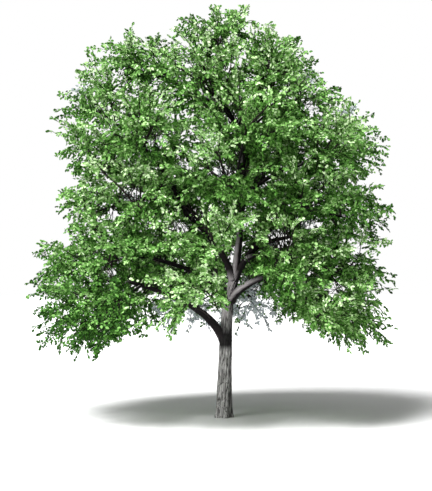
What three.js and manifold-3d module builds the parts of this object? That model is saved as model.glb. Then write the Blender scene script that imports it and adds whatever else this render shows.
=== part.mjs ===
// A winged elm as it stands in the open: one leaning trunk that forks low, arching boughs,
// and a broad dome of foliage in separate masses.
// Millimetres, +Z up. The origin is the middle of the flat cut under the trunk, at ground level.
// +X is to the right and +Y away from whoever looks at the tree. Bearings are in degrees,
// anticlockwise from +X as seen from above.
import * as THREE from "three";
import Module from "manifold-3d";

const wasm = await Module();
wasm.setup();

const crownTop = 15000;

// The crown's lobed edge: how far leaves may reach to the left and to the right.
const crownEdge = [
  { height: 2400, left: 6600, right: 6200 },
  { height: 4400, left: 7300, right: 6300 },
  { height: 5900, left: 7100, right: 5900 },
  { height: 6500, left: 6850, right: 6300 },
  { height: 7000, left: 6200, right: 6300 },
  { height: 8000, left: 6400, right: 6100 },
  { height: 8800, left: 5800, right: 6000 },
  { height: 10200, left: 6500, right: 6100 },
  { height: 11100, left: 6300, right: 5500 },
  { height: 12300, left: 5700, right: 3900 },
  { height: 13400, left: 4900, right: 3300 },
  { height: 14300, left: 3500, right: 2000 },
  { height: 14600, left: 2300, right: 1800 },
  { height: crownTop, left: 1600, right: 1500 },
];

// The smoother outline that the masses are placed by.
const crownOutline = [
  { height: 2400, left: 5800, right: 5800 },
  { height: 3600, left: 7450, right: 6300 },
  { height: 5700, left: 7300, right: 6350 },
  { height: 7600, left: 6450, right: 6300 },
  { height: 9900, left: 6600, right: 6050 },
  { height: 11400, left: 6300, right: 5200 },
  { height: 12600, left: 5600, right: 4000 },
  { height: 13700, left: 4200, right: 2800 },
  { height: 14400, left: 2600, right: 1800 },
  { height: crownTop, left: 300, right: 900 },
];
const depthShare = 0.94; // front to back, of the width

// Trunk
const forkHeight = 5230;
const lean = 160;
const bendAtFork = 330;
const bendPower = 8;
const trunkRadius = 285; // at the ground, without the flare
const forkRadius = 180;
const flareGrowth = 52;
const flareHeight = 520;
const buttressCount = 5;
const buttressDepth = 0.14;
const trunkSides = 13;
const trunkSteps = 8;
const trunkCrowding = 1.25; // brings the trunk's rings together near the ground

// Boughs
const boughSides = 6;
const boughSteps = 5;
const boughTipRadius = 58;
const shareOfWay = 0.62; // how much of the way to its masses a bough covers
const boughTaper = 0.8;
const crook = 0.03; // sideways wander, as a share of the bough's length
const crookTurns = 7;
const crookShift = 1.7; // between one bough's wander and the next one's
const rising = 0.75; // how far a bough's start follows what carries it, unless it has its own
const startPull = 0.35; // length of the curve's handles, as a share of the bough's
const endPull = 0.3;

// Masses of foliage
const massRadial = 1750;
const massAcross = 2000;
const massTall = 1400;
const hubDrop = 0.25; // how far a stem ends below the middle, as a share of the mass's height
const stemFootRadius = 54;
const stemHubRadius = 48;
const stemArch = 0.08; // rise of a stem's bend, as a share of its length
const stemSpacing = 0.12; // between two stems' feet, as a share of their bough's length
const twigRadius = 22;
const twigTipRadius = 18;
const twigsPerMass = 4;
const twigReach = 0.43; // of the way from the middle of a mass to its edge
const twigsFrom = 0.55; // share of the stem where the twigs begin
const twigsOver = 0.4; // share of the stem that they cover
const highestTwig = 0.92; // of the way up from the middle of a mass
const twigDescent = 1.55; // from there down to the lowest twig
const heightFreedom = 0.3;
const turnFreedom = 0.9;
const leafLength = 1200;
const leafWidth = 780;
const leafThickness = 22;
const leafWidest = 0.42; // of its length, from the root
const leafTipSunk = 8; // how far back from a twig's end its last leaf's root lies
const sideLeaves = [[0.78, 1.5], [0.5, -1.5]]; // share of the twig's length, and turn to the side
const leafFreedom = 0.5; // how far a leaf's way may differ from its twig's
const leafDroop = 0.15;
const leafOutward = 0.75; // how far a leaf's face looks away from the mass's middle
const leafUpward = 0.8; // how far it looks up
const tries = 14;
const shrinking = 0.03; // what a leaf loses of its length at each try

// Clearances
const seam = 0.35; // between a piece and what carries it
const spaceMargin = 12; // between a leaf or twig and the next mass's space
const limbMargin = 110; // between a leaf's sample points and a limb
const twigMargin = 50; // between a twig's sample points and a limb

// Each bough: what it grows from, how far along that it leaves, its radius there, the share
// of the way to its masses that it covers, how far its tip is lifted above the straight
// way, and its masses. A bough that rises steeply has its own share of rising. A mass has
// a bearing, a height, and a size where it isn't full size.
const boughs = {
  centre_leader: {
    from: "trunk", at: 0.97, radius: 150, share: 0.8, lift: 0,
    masses: [[200, 14200, 0.68, 0.1], [172, 13050, 0.85], [352, 13050, 0.8]],
  },
  left_leader: {
    from: "trunk", at: 0.95, radius: 140, share: 0.58, lift: 900,
    masses: [[180, 7800], [224, 8300], [178, 9800]],
  },
  right_leader: {
    from: "trunk", at: 0.95, radius: 135, share: 0.62, rising: 1.5, lift: 800,
    masses: [[355, 7600], [314, 8100]],
  },
  low_left: {
    from: "trunk", at: 0.52, radius: 185, share: 0.68, rising: 1.3, lift: 1500,
    masses: [[178, 3850], [214, 3900]],
  },
  low_right: {
    from: "trunk", at: 0.8, radius: 185, share: 0.6, rising: 1.3, lift: 1500,
    masses: [[355, 3700], [319, 3800]],
  },
  mid_left: {
    from: "trunk", at: 0.79, radius: 120, share: 0.66, rising: 1.1, lift: 650,
    masses: [[177, 5800], [215, 6100]],
  },
  front_low: {
    from: "trunk", at: 0.76, radius: 100, share: 0.6, lift: 300,
    masses: [[258, 4600], [266, 6900]],
  },
  back_low: {
    from: "trunk", at: 0.7, radius: 115, lift: 500,
    masses: [[74, 4200], [110, 4200], [100, 6400]],
  },
  left_back: {
    from: "low_left", at: 0.35, radius: 85, lift: 300,
    masses: [[139, 6100], [144, 4100]],
  },
  right_back: {
    from: "low_right", at: 0.3, radius: 85, lift: 300,
    masses: [[36, 4100], [58, 6200]],
  },
  right_front: {
    from: "right_leader", at: 0.25, radius: 90, lift: 200,
    masses: [[338, 5600], [298, 6100]],
  },
  right_rear: {
    from: "right_leader", at: 0.35, radius: 90, lift: 0,
    masses: [[16, 5700], [40, 8100]],
  },
  left_rear: {
    from: "left_leader", at: 0.35, radius: 85, lift: 0,
    masses: [[136, 8100], [127, 10200]],
  },
  upper_left: {
    from: "left_leader", at: 0.62, radius: 80, lift: 0,
    masses: [[178, 11500], [226, 10400]],
  },
  front_high: {
    from: "centre_leader", at: 0.22, radius: 90, lift: 0,
    masses: [[268, 9000], [282, 10900]],
  },
  back_high: {
    from: "centre_leader", at: 0.3, radius: 90, lift: 0,
    masses: [[88, 8500], [74, 10500]],
  },
  upper_right: {
    from: "centre_leader", at: 0.38, radius: 85, lift: 0,
    masses: [[334, 10000], [16, 9900]],
  },
  crown_top: {
    from: "centre_leader", at: 0.56, radius: 75, share: 0.4, lift: 0,
    masses: [[318, 11800], [20, 11700], [248, 12450, 0.95, 0.72], [104, 12450, 0.95, 0.72]],
  },
};

const up = new THREE.Vector3(0, 0, 1);
const degrees = Math.PI / 180;
const goldenAngle = Math.PI * (3 - Math.sqrt(5));
const barkGrey = 0x6f675f;
const greens = [0x3f7d3a, 0x5a9a4c, 0x2f6430, 0x7fb36a];

// Numbers from 0 to 1, the same on every run.
function seeded(seed) {
  let state = seed;
  return () => {
    state = (state * 48271) % 2147483647;
    return state / 2147483647;
  };
}

// How far the crown's outline stands from the tree's axis.
function crownReach(bearing, height, rows = crownOutline) {
  const above = Math.max(rows.findIndex((row) => row.height >= height), 1);
  const [low, high] = [rows[above - 1], rows[above]];
  const t = THREE.MathUtils.clamp((height - low.height) / (high.height - low.height), 0, 1);
  const left = THREE.MathUtils.lerp(low.left, high.left, t);
  const right = THREE.MathUtils.lerp(low.right, high.right, t);
  const wide = Math.cos(bearing) > 0 ? right : left;
  const deep = (depthShare * (left + right)) / 2;
  return 1 / Math.hypot(Math.cos(bearing) / wide, Math.sin(bearing) / deep);
}

function spot(bearing, height, out) {
  return new THREE.Vector3(out * Math.cos(bearing), out * Math.sin(bearing), height);
}

// The trunk's centre line and girth, at a share t of its height.
function trunkCentre(t) {
  return new THREE.Vector3(lean * t + bendAtFork * t ** bendPower, 0, forkHeight * t);
}

function trunkGirth(t) {
  const flare = flareGrowth * Math.exp((-t * forkHeight) / flareHeight);
  return trunkRadius + (forkRadius - trunkRadius) * t + flare;
}

// A mass's own space: an ellipsoid that touches the crown's outline.
function massSpace(name, seed, [bearingDegrees, height, size = 1, share = 1]) {
  const bearing = bearingDegrees * degrees;
  const out = share * (crownReach(bearing, height) - massRadial * size);
  return {
    name,
    seed,
    size,
    centre: spot(bearing, height, out),
    outward: new THREE.Vector3(Math.cos(bearing), Math.sin(bearing), 0),
    across: new THREE.Vector3(-Math.sin(bearing), Math.cos(bearing), 0),
  };
}

function withinEllipsoid(mass, point) {
  const from = point.clone().sub(mass.centre).divideScalar(mass.size);
  const outward = from.dot(mass.outward) / massRadial;
  const across = from.dot(mass.across) / massAcross;
  const tall = from.z / massTall;
  return outward ** 2 + across ** 2 + tall ** 2 <= 1;
}

// Where two masses meet, a flat plane parts them, nearer to the smaller one.
function powerDistance(mass, point) {
  return point.distanceToSquared(mass.centre) - (mass.size * massRadial) ** 2;
}

function withinCell(mass, point) {
  const own = powerDistance(mass, point);
  return masses.every((other) => {
    const room = 2 * spaceMargin * other.centre.distanceTo(mass.centre);
    return other === mass || powerDistance(other, point) - own > room;
  });
}

// Whether a point lies inside the crown's lobed edge.
function withinEdge(point) {
  return Math.hypot(point.x, point.y) < crownReach(Math.atan2(point.y, point.x), point.z, crownEdge);
}

function withinSpace(mass, point) {
  return point.z < crownTop && withinEdge(point) && withinEllipsoid(mass, point) && withinCell(mass, point);
}

// A closed tube round a list of stations. Each station has a place and a radius, and the
// rings stay square to the way they run, without twisting.
function tube(stations, sides, shape = () => 1, level = false) {
  const positions = [];
  const index = [];
  let side = new THREE.Vector3(1, 0, 0);
  stations.forEach((station, i) => {
    const next = stations[Math.min(i + 1, stations.length - 1)].place;
    const last = stations[Math.max(i - 1, 0)].place;
    const way = level ? up : next.clone().sub(last).normalize();
    if (i === 0 && Math.abs(way.dot(side)) > 0.8) side = new THREE.Vector3(0, 1, 0);
    side = side.clone().addScaledVector(way, -side.dot(way)).normalize();
    const other = way.clone().cross(side);
    for (let k = 0; k < sides; k++) {
      const turn = (2 * Math.PI * k) / sides;
      const radius = station.radius * shape(turn, i);
      const point = station.place.clone();
      point.addScaledVector(side, radius * Math.cos(turn));
      point.addScaledVector(other, radius * Math.sin(turn));
      positions.push(point.x, point.y, point.z);
    }
  });
  const last = (stations.length - 1) * sides;
  for (let i = 0; i < last; i += sides) {
    for (let k = 0; k < sides; k++) {
      const n = (k + 1) % sides;
      index.push(i + k, i + n, i + sides + n, i + k, i + sides + n, i + sides + k);
    }
  }
  for (let k = 1; k < sides - 1; k++) {
    index.push(0, k + 1, k, last, last + k, last + k + 1);
  }
  return closedGeometry(positions, index);
}

function closedGeometry(positions, index) {
  const geometry = new THREE.BufferGeometry();
  geometry.setAttribute("position", new THREE.Float32BufferAttribute(positions, 3));
  geometry.setIndex(index);
  return geometry;
}

function toSolid(geometry) {
  return new wasm.Manifold(
    new wasm.Mesh({
      numProp: 3,
      vertProperties: geometry.attributes.position.array,
      triVerts: new Uint32Array(geometry.index.array),
    }),
  );
}

function toGeometry(solid) {
  const mesh = solid.getMesh();
  return closedGeometry(Array.from(mesh.vertProperties), Array.from(mesh.triVerts));
}

// The largest body of a solid, without loose scraps and sealed hollows.
function largestBody(solid) {
  const bodies = solid.decompose().sort((a, b) => b.volume() - a.volume());
  return bodies[0];
}

// The trunk, flared over its roots.
function trunkStations(grown) {
  return Array.from({ length: trunkSteps + 1 }, (_, i) => {
    const t = (i / trunkSteps) ** trunkCrowding;
    return { place: trunkCentre(t), radius: trunkGirth(t) + grown, t };
  });
}

function trunkGeometry(grown = 0) {
  const stations = trunkStations(grown);
  const buttress = (turn, i) => {
    const depth = buttressDepth * Math.exp((-stations[i].t * forkHeight) / flareHeight);
    return 1 + depth * Math.cos(buttressCount * turn);
  };
  if (grown) {
    stations[stations.length - 1].place.z += grown;
  }
  return tube(stations, trunkSides, buttress, true);
}

// A bough's centre line: it leaves what carries it steeply, arches over and wanders a little.
function boughPath(bough) {
  const start = bough.start;
  const way = bough.tip.clone().sub(start);
  const length = way.length();
  const flat = new THREE.Vector3(way.x, way.y, 0).normalize();
  const leaving = bough.grain
    .clone()
    .multiplyScalar(bough.rising ?? rising)
    .add(way.clone().normalize())
    .normalize();
  const arriving = way.clone().normalize().add(flat).normalize();
  const curve = new THREE.CubicBezierCurve3(
    start,
    start.clone().addScaledVector(leaving, startPull * length),
    bough.tip.clone().addScaledVector(arriving, -endPull * length),
    bough.tip,
  );
  const sideways = up.clone().cross(flat);
  return (t) => {
    const wander = crook * length * Math.sin(Math.PI * t) * Math.sin(crookTurns * t + bough.phase);
    return curve.getPoint(t).addScaledVector(sideways, wander);
  };
}

function boughRadius(bough, t) {
  return bough.radius + (boughTipRadius - bough.radius) * t ** boughTaper;
}

function boughGeometry(bough, grown = 0) {
  const stations = Array.from({ length: boughSteps + 1 }, (_, i) => {
    const t = i / boughSteps;
    return { place: bough.path(t), radius: boughRadius(bough, t) + grown };
  });
  if (grown) {
    const [before, end] = stations.slice(-2);
    end.place.addScaledVector(end.place.clone().sub(before.place).normalize(), grown);
  }
  return tube(stations, boughSides);
}

// The masses' spaces come first, because each bough heads for the masses that it carries.
const masses = [];
for (const [name, bough] of Object.entries(boughs)) {
  bough.name = name;
  bough.masses = bough.masses.map((row, i) => {
    const mass = massSpace(`foliage_${name}_${i + 1}`, 1009 * (masses.length + 1), row);
    mass.bough = bough;
    masses.push(mass);
    return mass;
  });
}

const trunk = { name: "trunk", path: trunkCentre, radiusAt: trunkGirth };
const limbs = { trunk };
Object.values(boughs).forEach((bough, i) => {
  const carrier = limbs[bough.from];
  const middle = bough.masses
    .reduce((sum, mass) => sum.add(mass.centre), new THREE.Vector3())
    .divideScalar(bough.masses.length);
  bough.start = carrier.path(bough.at);
  bough.grain = carrier.path(Math.min(bough.at + 0.05, 1)).sub(carrier.path(bough.at - 0.05)).normalize();
  bough.tip = bough.start.clone().lerp(middle, bough.share ?? shareOfWay).addScaledVector(up, bough.lift);
  bough.phase = crookShift * i;
  bough.path = boughPath(bough);
  bough.radiusAt = (t) => boughRadius(bough, t);
  limbs[bough.name] = bough;
});

// Limbs as short straight runs, to keep twigs and leaves clear of them.
function runsOf(limb, steps) {
  return Array.from({ length: steps }, (_, i) => ({
    from: limb.path(i / steps),
    to: limb.path((i + 1) / steps),
    radius: limb.radiusAt(i / steps),
    owner: limb.name,
  }));
}

function distanceToRun(point, run) {
  const along = run.to.clone().sub(run.from);
  const t = THREE.MathUtils.clamp(point.clone().sub(run.from).dot(along) / along.lengthSq(), 0, 1);
  return point.distanceTo(run.from.clone().addScaledVector(along, t));
}

// A mass's stem runs from its bough into the middle of the mass.
masses.forEach((mass) => {
  const place = mass.bough.masses.indexOf(mass);
  const foot = mass.bough.path(1 - stemSpacing * place);
  const hub = mass.centre.clone().addScaledVector(up, -hubDrop * massTall * mass.size);
  const bend = foot.clone().lerp(hub, 0.5).addScaledVector(up, stemArch * foot.distanceTo(hub));
  const curve = new THREE.QuadraticBezierCurve3(foot, bend, hub);
  mass.path = (t) => curve.getPoint(t);
  mass.radiusAt = (t) => stemFootRadius + (stemHubRadius - stemFootRadius) * t;
});

const obstacles = [
  ...runsOf(trunk, 6),
  ...Object.values(boughs).flatMap((bough) => runsOf(bough, boughSteps)),
  ...masses.flatMap((mass) => runsOf(mass, 3)),
];

function clearOf(points, margin, owners) {
  return obstacles.every(
    (run) =>
      owners.includes(run.owner) || points.every((point) => distanceToRun(point, run) > run.radius + margin),
  );
}

// One leaf, larger than life: it stands for a whole spray. It has a root, the way that it
// points, the way that its face looks and its own length.
function leafPoints(leaf) {
  const across = leaf.face.clone().cross(leaf.way);
  const middle = leaf.root.clone().addScaledVector(leaf.way, leafWidest * leaf.length);
  const halfWidth = ((leafWidth / leafLength) * leaf.length) / 2;
  return [
    leaf.root,
    leaf.root.clone().addScaledVector(leaf.way, leaf.length),
    middle.clone().addScaledVector(across, halfWidth),
    middle.clone().addScaledVector(across, -halfWidth),
    middle.clone().addScaledVector(leaf.face, leafThickness / 2),
    middle.clone().addScaledVector(leaf.face, -leafThickness / 2),
  ];
}

function leafSolid(leaf) {
  const positions = leafPoints(leaf).flatMap((p) => [p.x, p.y, p.z]);
  const index = [0, 3, 4, 0, 4, 2, 1, 4, 3, 1, 2, 4, 0, 5, 3, 0, 2, 5, 1, 3, 5, 1, 5, 2];
  return toSolid(closedGeometry(positions, index));
}

// Points spread over a leaf, to test it against limbs.
function leafSamples(leaf) {
  const [, tip, left, right] = leafPoints(leaf);
  const samples = [tip, left, right];
  for (const share of [0.15, 0.4, 0.7]) samples.push(leaf.root.clone().lerp(tip, share));
  for (const side of [left, right]) samples.push(leaf.root.clone().lerp(side, 0.5), tip.clone().lerp(side, 0.5));
  return samples;
}

// A leaf that leaves a twig: it points the way given with some freedom, droops a little,
// and faces up and out.
function makeLeaf(mass, root, way, share, random) {
  const free = () => leafFreedom * (random() - 0.5);
  const pointing = way.clone().add(new THREE.Vector3(free(), free(), free() - leafDroop)).normalize();
  const face = root.clone().sub(mass.centre).normalize().multiplyScalar(leafOutward);
  face.add(new THREE.Vector3(free(), free(), leafUpward + free()));
  face.addScaledVector(pointing, -face.dot(pointing)).normalize();
  return { root, way: pointing, face, length: share * leafLength * mass.size };
}

// A leaf is kept where it stays in its mass's space, clear of limbs and of the mass's other
// leaves and twigs.
function leafFits(mass, leaf, others) {
  return (
    leafPoints(leaf).slice(1).every((point) => withinSpace(mass, point)) &&
    clearOf(leafSamples(leaf), limbMargin, [mass.name]) &&
    others.every((other) => leaf.solid.intersect(other).isEmpty())
  );
}

// Tries leaves at one place on a twig, from the longest, and keeps the first that fits.
function addLeaf(mass, root, way, others, random) {
  for (let attempt = 0; attempt < tries; attempt++) {
    const leaf = makeLeaf(mass, root, way, 1 - shrinking * attempt, random);
    leaf.solid = leafSolid(leaf);
    if (leafFits(mass, leaf, others)) return [leaf.solid];
  }
  return [];
}

// A twig's place in a mass: from the stem towards the edge.
function makeTwig(mass, k, turned, random) {
  const share = (k + 0.5) / twigsPerMass;
  const height = highestTwig - twigDescent * share + heightFreedom * (random() - 0.5);
  const turn = turned + goldenAngle * k + turnFreedom * (random() - 0.5);
  const flat = Math.sqrt(1 - height ** 2);
  const edge = mass.outward.clone().multiplyScalar(flat * Math.cos(turn) * massRadial);
  edge.addScaledVector(mass.across, flat * Math.sin(turn) * massAcross);
  edge.addScaledVector(up, height * massTall);
  const from = mass.path(twigsFrom + twigsOver * share);
  const to = mass.centre.clone().addScaledVector(edge, twigReach * mass.size);
  return { from, to, way: to.clone().sub(from).normalize(), edge: edge.normalize() };
}

function twigFits(mass, twig) {
  const along = [0.3, 0.5, 0.75, 1].map((share) => twig.from.clone().lerp(twig.to, share));
  return along.every((point) => withinSpace(mass, point)) && clearOf(along, twigMargin, [mass.name]);
}

function twigSolid(twig) {
  const foot = { place: twig.from, radius: twigRadius };
  return toSolid(tube([foot, { place: twig.to, radius: twigTipRadius }], 3));
}

// The leaves of one twig: one at its tip and others on either side.
function twigLeaves(mass, twig, others, random) {
  const ahead = twig.way.clone().add(twig.edge).normalize();
  const sideways = ahead.clone().cross(mass.outward.clone().add(up)).normalize();
  const leaves = addLeaf(mass, twig.to.clone().addScaledVector(twig.way, -leafTipSunk), ahead, others, random);
  for (const [share, turn] of sideLeaves) {
    const root = twig.from.clone().lerp(twig.to, share);
    const way = ahead.clone().addScaledVector(sideways, turn).normalize();
    leaves.push(...addLeaf(mass, root, way, [...others, ...leaves], random));
  }
  return leaves;
}

// One mass: a stem, with twigs that leave it in turn, spread over the mass by the golden
// angle. A twig that finds no room for itself or for a leaf is tried another way.
function growMass(mass, carrierGrown) {
  const random = seeded(mass.seed);
  const turned = 2 * Math.PI * random();
  const stations = [0, 0.5, 1].map((t) => ({ place: mass.path(t), radius: mass.radiusAt(t) }));
  const stem = toSolid(tube(stations, 3)).subtract(carrierGrown);
  const twigs = [];
  const leaves = [];
  for (let k = 0; k < twigsPerMass; k++) {
    for (let attempt = 0; attempt < tries; attempt++) {
      const twig = makeTwig(mass, k, turned, random);
      const solid = twigSolid(twig);
      const free = leaves.every((leaf) => solid.intersect(leaf).isEmpty());
      if (!free || !twigFits(mass, twig)) continue;
      const grownLeaves = twigLeaves(mass, twig, [stem, ...twigs, ...leaves], random);
      if (grownLeaves.length === 0) continue;
      leaves.push(...grownLeaves);
      twigs.push(solid);
      break;
    }
  }
  return largestBody(wasm.Manifold.union([stem, ...twigs, ...leaves]));
}

// Builds the tree.
const tree = new THREE.Group();

function addMesh(name, solid, color, roughness) {
  const material = new THREE.MeshStandardMaterial({ color, roughness, metalness: 0 });
  const mesh = new THREE.Mesh(toGeometry(solid), material);
  mesh.name = name;
  tree.add(mesh);
}

const grown = { trunk: toSolid(trunkGeometry(seam)) };
addMesh("trunk", toSolid(trunkGeometry()), barkGrey, 0.95);
for (const bough of Object.values(boughs)) {
  let solid = toSolid(boughGeometry(bough));
  for (const carrier of Object.values(grown)) solid = solid.subtract(carrier);
  addMesh(bough.name, largestBody(solid), barkGrey, 0.95);
  grown[bough.name] = toSolid(boughGeometry(bough, seam));
}
masses.forEach((mass, i) => {
  addMesh(mass.name, growMass(mass, grown[mass.bough.name]), greens[i % greens.length], 0.7);
});

export default tree;
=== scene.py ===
# A winged elm in full leaf: one trunk, eighteen boughs and a rounded crown of leafy sprays.
# Metres, +Z up, the cut under the trunk at the origin, seen from -Y.
import math
import bpy
import numpy as np
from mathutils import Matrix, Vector, noise


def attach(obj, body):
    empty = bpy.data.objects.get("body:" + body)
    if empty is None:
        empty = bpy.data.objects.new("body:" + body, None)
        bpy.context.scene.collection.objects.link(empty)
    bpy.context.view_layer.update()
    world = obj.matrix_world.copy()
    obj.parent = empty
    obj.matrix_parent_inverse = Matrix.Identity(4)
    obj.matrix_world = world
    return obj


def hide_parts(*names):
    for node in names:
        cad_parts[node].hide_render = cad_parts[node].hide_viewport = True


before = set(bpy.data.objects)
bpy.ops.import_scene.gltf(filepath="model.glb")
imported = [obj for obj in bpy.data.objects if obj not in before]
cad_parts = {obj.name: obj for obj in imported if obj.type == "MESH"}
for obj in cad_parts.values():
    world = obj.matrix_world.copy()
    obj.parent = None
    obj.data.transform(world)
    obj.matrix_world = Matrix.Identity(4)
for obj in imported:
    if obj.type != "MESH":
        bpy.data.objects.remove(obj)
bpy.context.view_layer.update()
bpy.ops.object.select_all(action="DESELECT")

up = np.array([0.0, 0.0, 1.0])
level = np.array([1.0, 1.0, 0.0])  # times a vector, leaves its level part


def unit(vectors):
    return vectors / np.maximum(np.linalg.norm(vectors, axis=-1, keepdims=True), 1e-9)


def dot(a, b):
    return (a * b).sum(axis=-1, keepdims=True)


# Camera: almost level, far off, so that the tree hardly narrows upwards
camera = {
    "aim": (-0.269, 0.0, 6.265), "distance": 80.0, "rise": 3.0, "seenHeight": 17.83,
    "sensor": 24.0, "far": 400.0,
}


def placeCamera():
    rise = math.radians(camera["rise"])
    aim = Vector(camera["aim"])
    place = aim + camera["distance"] * Vector((0, -math.cos(rise), math.sin(rise)))
    bpy.ops.object.camera_add(location=place, rotation=(aim - place).to_track_quat("-Z", "Y").to_euler())
    lens = bpy.context.object.data
    lens.sensor_fit = "VERTICAL"
    lens.sensor_height = camera["sensor"]
    lens.lens = camera["sensor"] * camera["distance"] / camera["seenHeight"]
    lens.clip_end = camera["far"]
    bpy.context.scene.camera = bpy.context.object


def seenHeight(points):  # height on the picture of points nearer or farther than the trunk
    return points[..., 2] + points[..., 1] * math.tan(math.radians(camera["rise"]))


def fromEllipse(points, across, height, halfWide, halfTall):  # under 1 inside an ellipse on the picture
    return ((points[..., 0] - across) / halfWide) ** 2 + ((seenHeight(points) - height) / halfTall) ** 2


# Studio: a soft sun from the upper left, white surroundings, a pale floor
studio = {
    "sunFrom": (-0.6, -0.6, 1.3), "sunAway": 30.0, "sunStrength": 6.4, "sunSpread": 28.0,
    "surroundings": 0.34, "floorRadius": 60.0, "floorSides": 96, "floorDrop": 0.002, "floorTone": 0.86,
}


def lightStudio():
    way = Vector(studio["sunFrom"])
    turned = way.to_track_quat("Z", "Y").to_euler()
    bpy.ops.object.light_add(type="SUN", location=way * studio["sunAway"], rotation=turned)
    sun = bpy.context.object.data
    sun.energy = studio["sunStrength"]
    sun.angle = math.radians(studio["sunSpread"])
    world = bpy.data.worlds.new("pale studio")
    world.use_nodes = True
    bpy.context.scene.world = world
    tree = world.node_tree
    back = tree.nodes["Background"]
    back.inputs["Color"].default_value = (1, 1, 1, 1)
    back.inputs["Strength"].default_value = studio["surroundings"]
    bright = tree.nodes.new("ShaderNodeBackground")  # what the camera sees behind the tree
    bright.inputs["Color"].default_value = (1, 1, 1, 1)
    seen = tree.nodes.new("ShaderNodeLightPath")
    choice = tree.nodes.new("ShaderNodeMixShader")
    tree.links.new(seen.outputs["Is Camera Ray"], choice.inputs["Fac"])
    tree.links.new(back.outputs[0], choice.inputs[1])
    tree.links.new(bright.outputs[0], choice.inputs[2])
    tree.links.new(choice.outputs[0], tree.nodes["World Output"].inputs["Surface"])
    bpy.context.scene.view_settings.view_transform = "Standard"


# Finishes
class Wire:  # a socket that can be reckoned with
    def __init__(self, finish, socket):
        self.finish = finish
        self.socket = socket

    def reckon(self, operation, a, b):
        return self.finish.node("ShaderNodeMath", {"operation": operation}, {0: a, 1: b})

    def __add__(self, other):
        return self.reckon("ADD", self, other)

    def __radd__(self, other):
        return self.reckon("ADD", other, self)

    def __sub__(self, other):
        return self.reckon("SUBTRACT", self, other)

    def __rsub__(self, other):
        return self.reckon("SUBTRACT", other, self)

    def __mul__(self, other):
        return self.reckon("MULTIPLY", self, other)

    def __rmul__(self, other):
        return self.reckon("MULTIPLY", other, self)


class Finish:
    def __init__(self, name):
        self.material = bpy.data.materials.new(name)
        self.material.use_nodes = True
        self.tree = self.material.node_tree
        self.shader = self.tree.nodes["Principled BSDF"]

    def give(self, node, inputs):
        for key, value in inputs.items():
            socket = node.inputs[key]
            if isinstance(value, Wire):
                self.tree.links.new(value.socket, socket)
            else:
                socket.default_value = value

    def node(self, kind, settings, inputs, output=0):
        made = self.tree.nodes.new(kind)
        for key, value in settings.items():
            setattr(made, key, value)
        self.give(made, inputs)
        return Wire(self, made.outputs[output])

    def mixed(self, share, first, second):
        return self.node("ShaderNodeMix", {"data_type": "RGBA"}, {0: share, 6: first, 7: second}, 2)

    def ramp(self, value, ends):  # 0 at the first end, 1 at the last
        inputs = {"Value": value, "From Min": ends[0], "From Max": ends[1]}
        return self.node("ShaderNodeMapRange", {}, inputs)

    def part(self, vector, axis):
        return self.node("ShaderNodeSeparateXYZ", {}, {"Vector": vector}, axis)


def fromScreen(red, green, blue):  # a colour as seen on a screen, made linear
    def linear(value):
        value /= 255
        return value / 12.92 if value <= 0.04045 else ((value + 0.055) / 1.055) ** 2.4
    return (linear(red), linear(green), linear(blue), 1.0)


trunkBark = {
    "plate": fromScreen(134, 133, 132), "pale": fromScreen(226, 224, 222), "furrow": fromScreen(46, 42, 41),
    "high": fromScreen(104, 96, 100), "highHighlight": fromScreen(228, 219, 223), "highFrom": [3.4, 4.2],
    "paintedShade": fromScreen(14, 11, 12), "boughShade": fromScreen(32, 26, 28), "boughShadeHighlight": fromScreen(54, 47, 50),
    "shadeAlong": None,
    "crotch": [2.4, 2.65], "crotchEnd": [3.8, 3.05], "crotchShadow": 0.97,  # painted shadow of the lowest bough, a dark band under it
    "edge": [0.45, 0.9], "rightShade": 0.88,  # painted shade down the right side
    # how the painted highlight and painted shade follow the bark's facing
    "fromAbove": 0.7, "fromLeft": 0.6, "over": [-0.05, 0.35], "under": [-0.02, -0.3],
    "shaded": [0.2, 0.8], "shadedDark": 0.8, "tone": [0.36, 0.66], "toneShare": 0.3,
    "streaks": 40.0, "stretch": 0.06, "streakRough": 0.65, "grain": 120.0, "grainShare": 0.3,
    "bump": 0.6, "bumpDeep": 0.02, "smoothest": 0.78, "rougher": 0.2, "specular": 0.25,
}
boughBark = dict(trunkBark, shadeAlong=[0.12, 0.5])  # how far along a bough its bark goes into painted shade
# pale boughs keep the trunk's colour further out before their painted shade begins
paleBark = dict(trunkBark, shadeAlong=[1.0, 1.8])


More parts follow.
